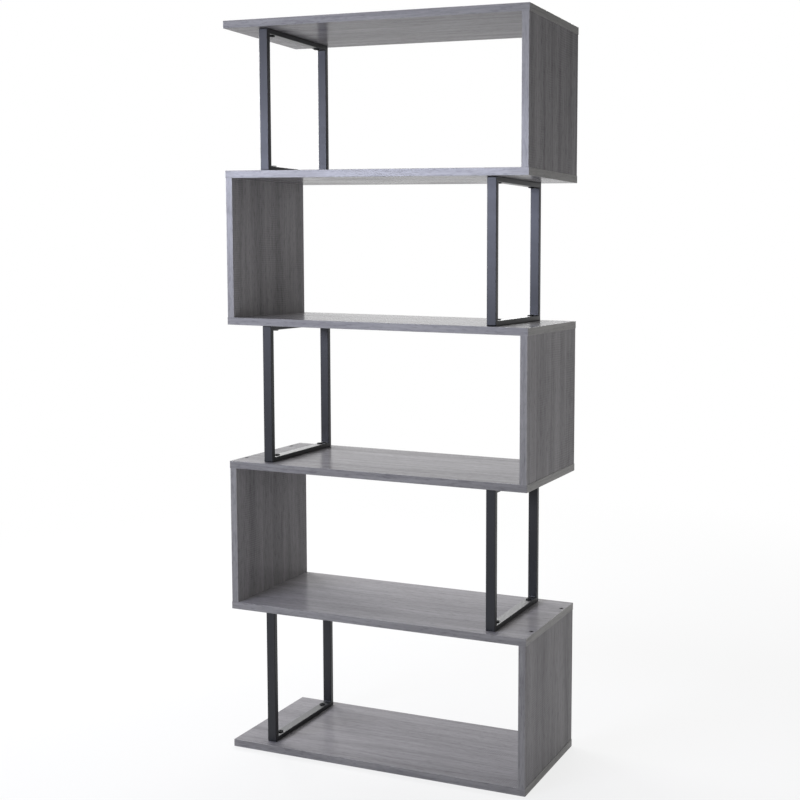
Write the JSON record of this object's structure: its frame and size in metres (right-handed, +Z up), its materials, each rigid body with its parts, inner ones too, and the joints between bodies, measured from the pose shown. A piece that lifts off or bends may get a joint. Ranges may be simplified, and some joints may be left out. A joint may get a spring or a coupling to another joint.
{
  "type": "zigzag bookshelf",
  "caption": "Tall open bookshelf of grey wood-grain boards in a zigzag: each shelf stands on an upright panel at one end and a black tube frame at the other.",
  "frame": {"origin": "middle of the footprint on the floor", "axes": "+Z up, +X to the right seen from the front, front faces -Y"},
  "size_m": [0.8, 0.3, 1.8],
  "materials": {
    "grey_oak_board": "satin melamine, grey oak grain",
    "grey_oak_edge_band": "satin edge band, grey oak grain",
    "black_powder_coat": "satin black powder coat",
    "black_fastener": "black oxide",
    "zinc_insert": "zinc plated",
    "beech_dowel": "raw beech"
  },
  "bodies": {
    "root": {"shelf_1_board": "grey_oak_board", "shelf_1_edge_bands": "grey_oak_edge_band", "shelf_2_board": "grey_oak_board", "shelf_2_edge_bands": "grey_oak_edge_band", "shelf_3_board": "grey_oak_board", "shelf_3_edge_bands": "grey_oak_edge_band", "shelf_4_board": "grey_oak_board", "shelf_4_edge_bands": "grey_oak_edge_band", "shelf_5_board": "grey_oak_board", "shelf_5_edge_bands": "grey_oak_edge_band", "shelf_6_board": "grey_oak_board", "shelf_6_edge_bands": "grey_oak_edge_band", "upright_1_right_board": "grey_oak_board", "upright_1_right_edge_bands": "grey_oak_edge_band", "frame_1_left_front_post": "black_powder_coat", "frame_1_left_rear_post": "black_powder_coat", "frame_1_left_bottom_bar": "black_powder_coat", "frame_1_left_top_bar": "black_powder_coat", "upright_2_left_board": "grey_oak_board", "upright_2_left_edge_bands": "grey_oak_edge_band", "frame_2_right_front_post": "black_powder_coat", "frame_2_right_rear_post": "black_powder_coat", "frame_2_right_bottom_bar": "black_powder_coat", "frame_2_right_top_bar": "black_powder_coat", "upright_3_right_board": "grey_oak_board", "upright_3_right_edge_bands": "grey_oak_edge_band", "frame_3_left_front_post": "black_powder_coat", "frame_3_left_rear_post": "black_powder_coat", "frame_3_left_bottom_bar": "black_powder_coat", "frame_3_left_top_bar": "black_powder_coat", "upright_4_left_board": "grey_oak_board", "upright_4_left_edge_bands": "grey_oak_edge_band", "frame_4_right_front_post": "black_powder_coat", "frame_4_right_rear_post": "black_powder_coat", "frame_4_right_bottom_bar": "black_powder_coat", "frame_4_right_top_bar": "black_powder_coat", "upright_5_right_board": "grey_oak_board", "upright_5_right_edge_bands": "grey_oak_edge_band", "frame_5_left_front_post": "black_powder_coat", "frame_5_left_rear_post": "black_powder_coat", "frame_5_left_bottom_bar": "black_powder_coat", "frame_5_left_top_bar": "black_powder_coat", "frame_bolts": "black_fastener", "threaded_inserts": "zinc_insert", "joining_screws": "black_fastener", "dowels": "beech_dowel"}
  },
  "joints": []
}
